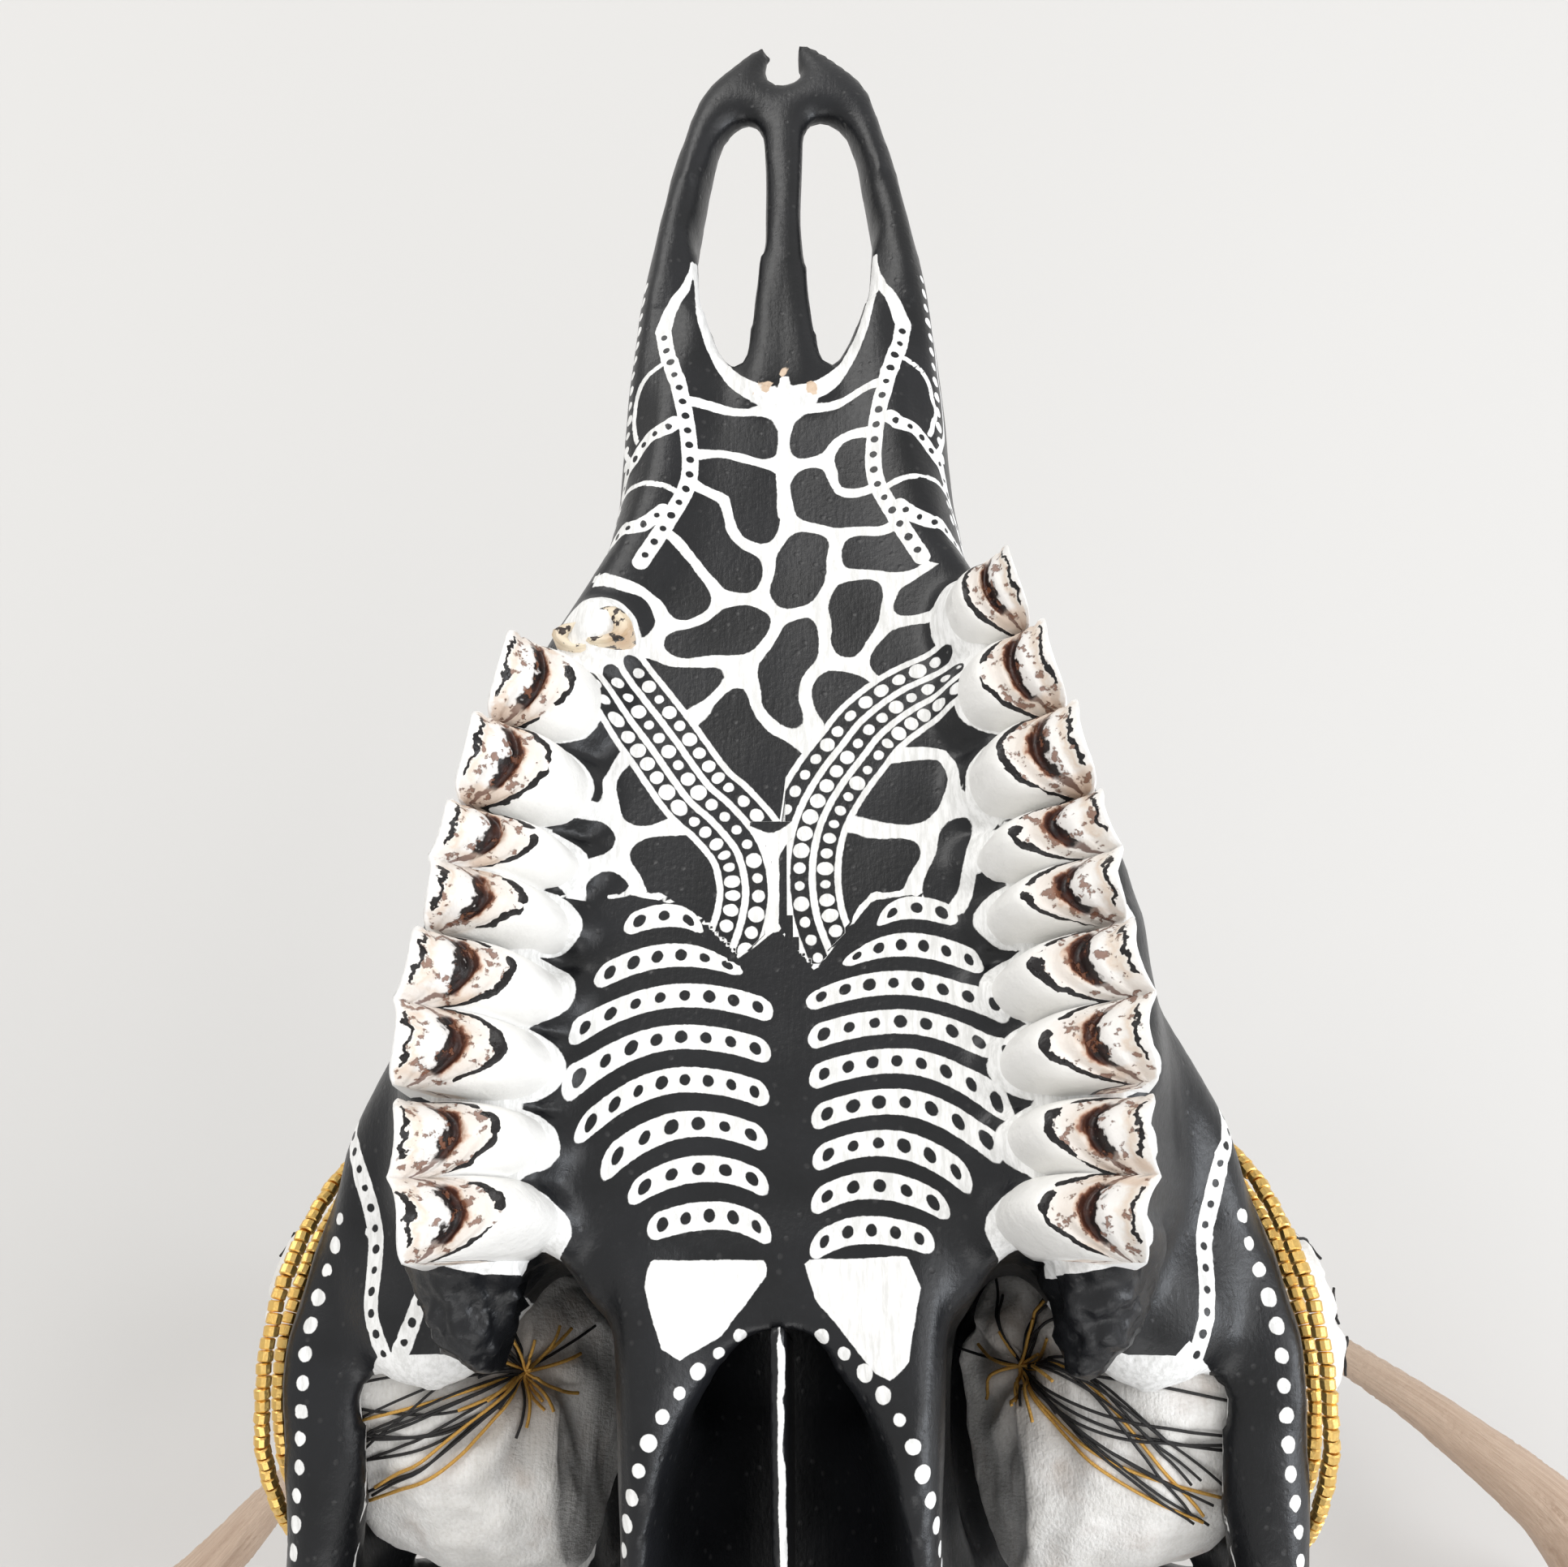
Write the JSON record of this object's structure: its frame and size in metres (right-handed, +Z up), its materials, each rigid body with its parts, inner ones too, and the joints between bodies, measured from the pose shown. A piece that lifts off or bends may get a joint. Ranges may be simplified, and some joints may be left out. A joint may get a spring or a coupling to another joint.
{
  "type": "decorated deer skull",
  "caption": "Deer skull with antlers and no lower jaw, painted black with white dots, bars and a net of cells, with stitched cloth pads and gold bead strands in the eye sockets.",
  "frame": {"origin": "middle of the bounding box at floor level, under the antler tips that it rests on", "axes": "+Z up, which is the palate side of the skull; +Y toward the snout; +X toward the animal's left"},
  "size_m": [0.3205, 0.277, 0.2226],
  "materials": {
    "painted_bone": "dry bone under satin black paint with raised white paint, teeth left partly bare",
    "antler": "bare tan antler, dull and slightly ridged",
    "gold_beads": "bright gold cylinder beads",
    "pad_cloth": "off-white cloth with stitches in black and gold thread"
  },
  "bodies": {
    "root": {"antler_base_left": "antler", "antler_base_right": "antler", "antler_beam_left": "antler", "antler_beam_right": "antler", "antler_beam_tip_left": "antler", "antler_beam_tip_right": "antler", "antler_brow_tine_left": "antler", "antler_brow_tine_right": "antler", "antler_second_tine_left": "antler", "antler_second_tine_right": "antler", "antler_third_tine_left": "antler", "antler_third_tine_right": "antler", "bead_strand_inner_left": "gold_beads", "bead_strand_inner_right": "gold_beads", "bead_strand_outer_left": "gold_beads", "bead_strand_outer_right": "gold_beads", "cranium": "painted_bone", "eye_patch_left": "pad_cloth", "eye_patch_right": "pad_cloth", "maxilla_left": "painted_bone", "maxilla_right": "painted_bone", "nasal_bones": "painted_bone", "palatine_pterygoid": "painted_bone", "premaxilla_left": "painted_bone", "premaxilla_right": "painted_bone", "vomer": "painted_bone", "zygomatic_arch_left": "painted_bone", "zygomatic_arch_right": "painted_bone"}
  },
  "joints": []
}
